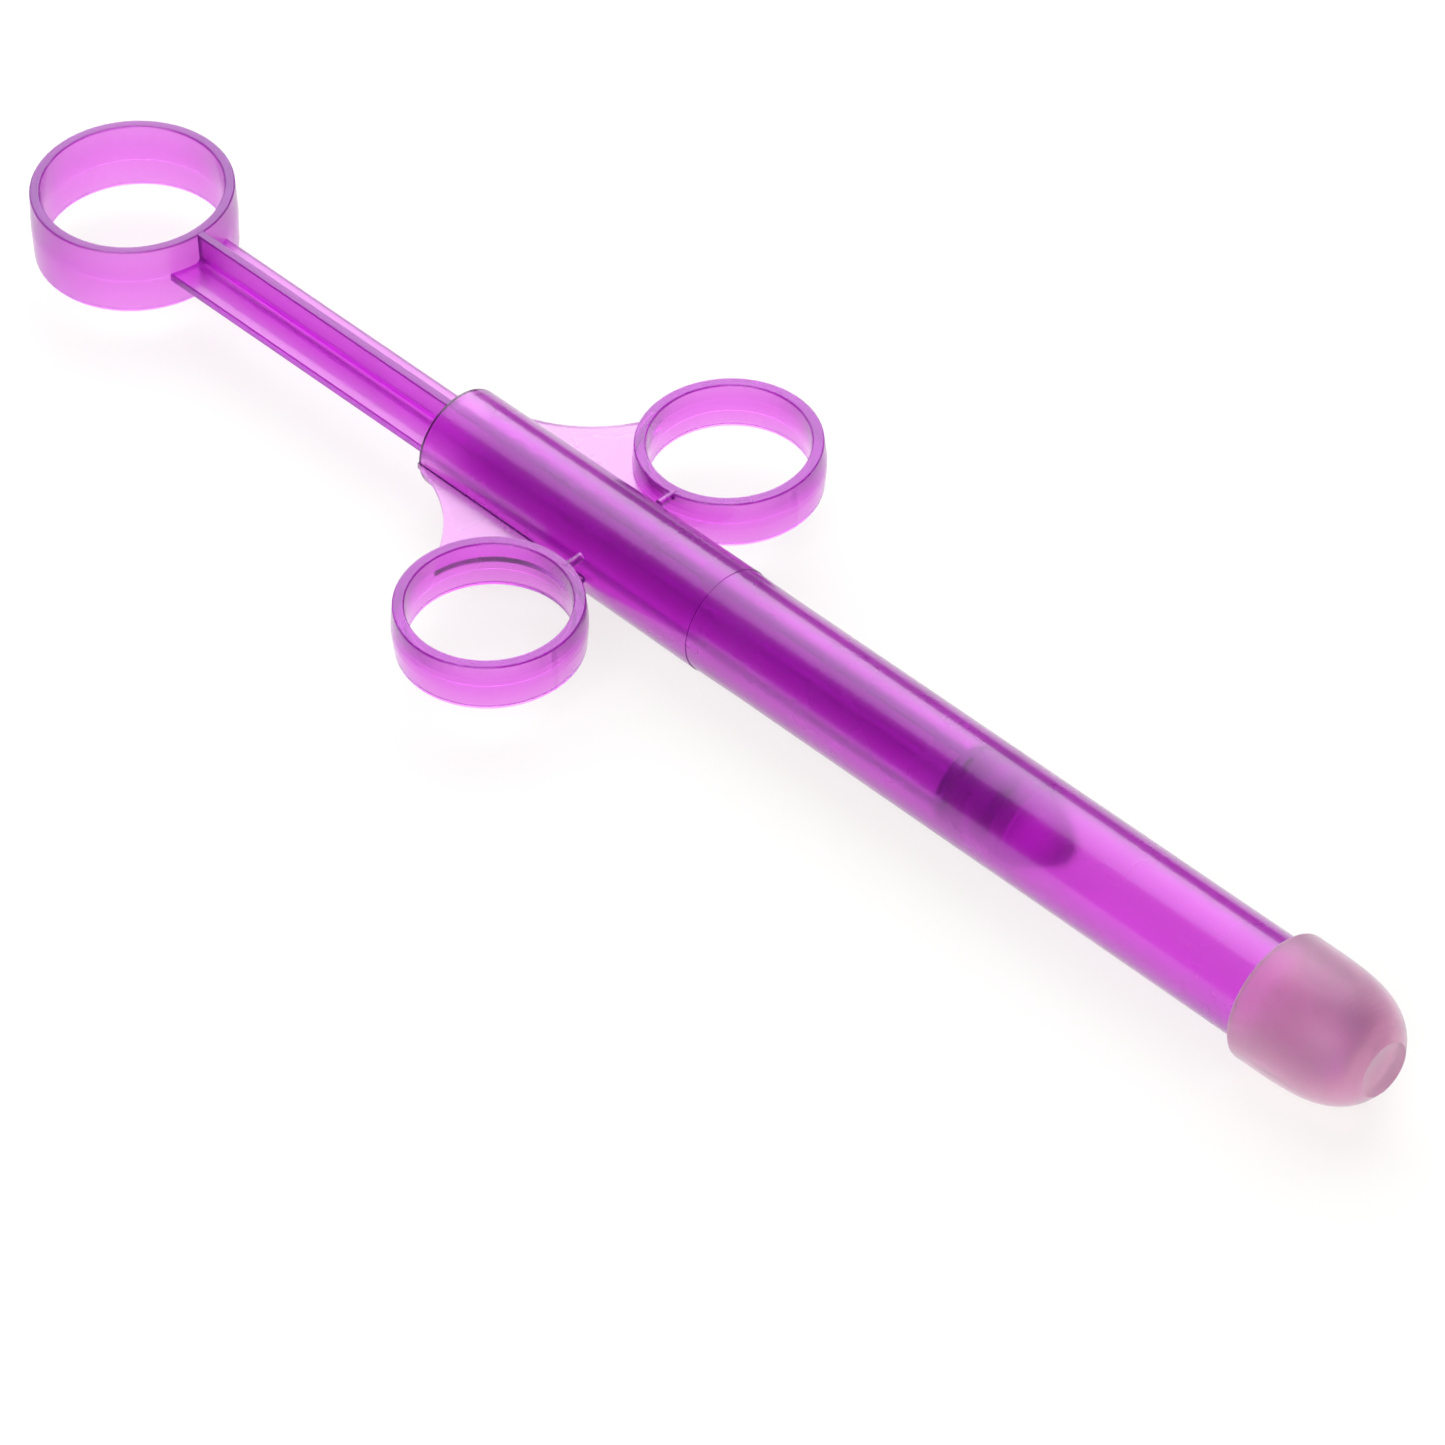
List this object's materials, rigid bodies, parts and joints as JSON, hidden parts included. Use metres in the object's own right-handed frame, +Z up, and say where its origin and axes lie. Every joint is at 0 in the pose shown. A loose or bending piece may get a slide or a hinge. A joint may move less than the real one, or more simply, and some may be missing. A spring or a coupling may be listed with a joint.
{
  "type": "three-ring oral syringe",
  "caption": "Three-ring dosing syringe: clear violet barrel with finger rings, ribbed plunger with thumb ring, elastomer stopper and soft frosted tip cap.",
  "frame": {"origin": "on the surface the syringe lies on, under the middle of its overall box", "axes": "+X along the barrel towards the tip cap, +Z up, finger rings on either side along Y with their plane horizontal"},
  "size_m": [0.2527, 0.0714, 0.0187],
  "materials": {
    "clear_violet": "polished, see-through tinted",
    "plunger_violet": "polished, see-through tinted",
    "stopper_elastomer": "satin, tinted",
    "frosted_silicone": "soft matt, milky"
  },
  "bodies": {
    "barrel": {"barrel": "clear_violet"},
    "stopper": {"piston_stopper": "stopper_elastomer"},
    "plunger": {"plunger_rod": "plunger_violet"},
    "cap": {"tip_cap": "frosted_silicone"}
  },
  "joints": [
    {"name": "plunger_push", "type": "slide", "parent": "barrel", "child": "stopper", "axis": [1, 0, 0], "range_m": [-0.092, 0.0456]},
    {"name": "plunger_turn", "type": "hinge", "parent": "stopper", "child": "plunger", "pos_m": [0, 0, 0.00935], "axis": [1, 0, 0], "continuous": true},
    {"name": "cap_pull", "type": "slide", "parent": "barrel", "child": "cap", "axis": [1, 0, 0], "range_m": [0, 0.025]}
  ]
}
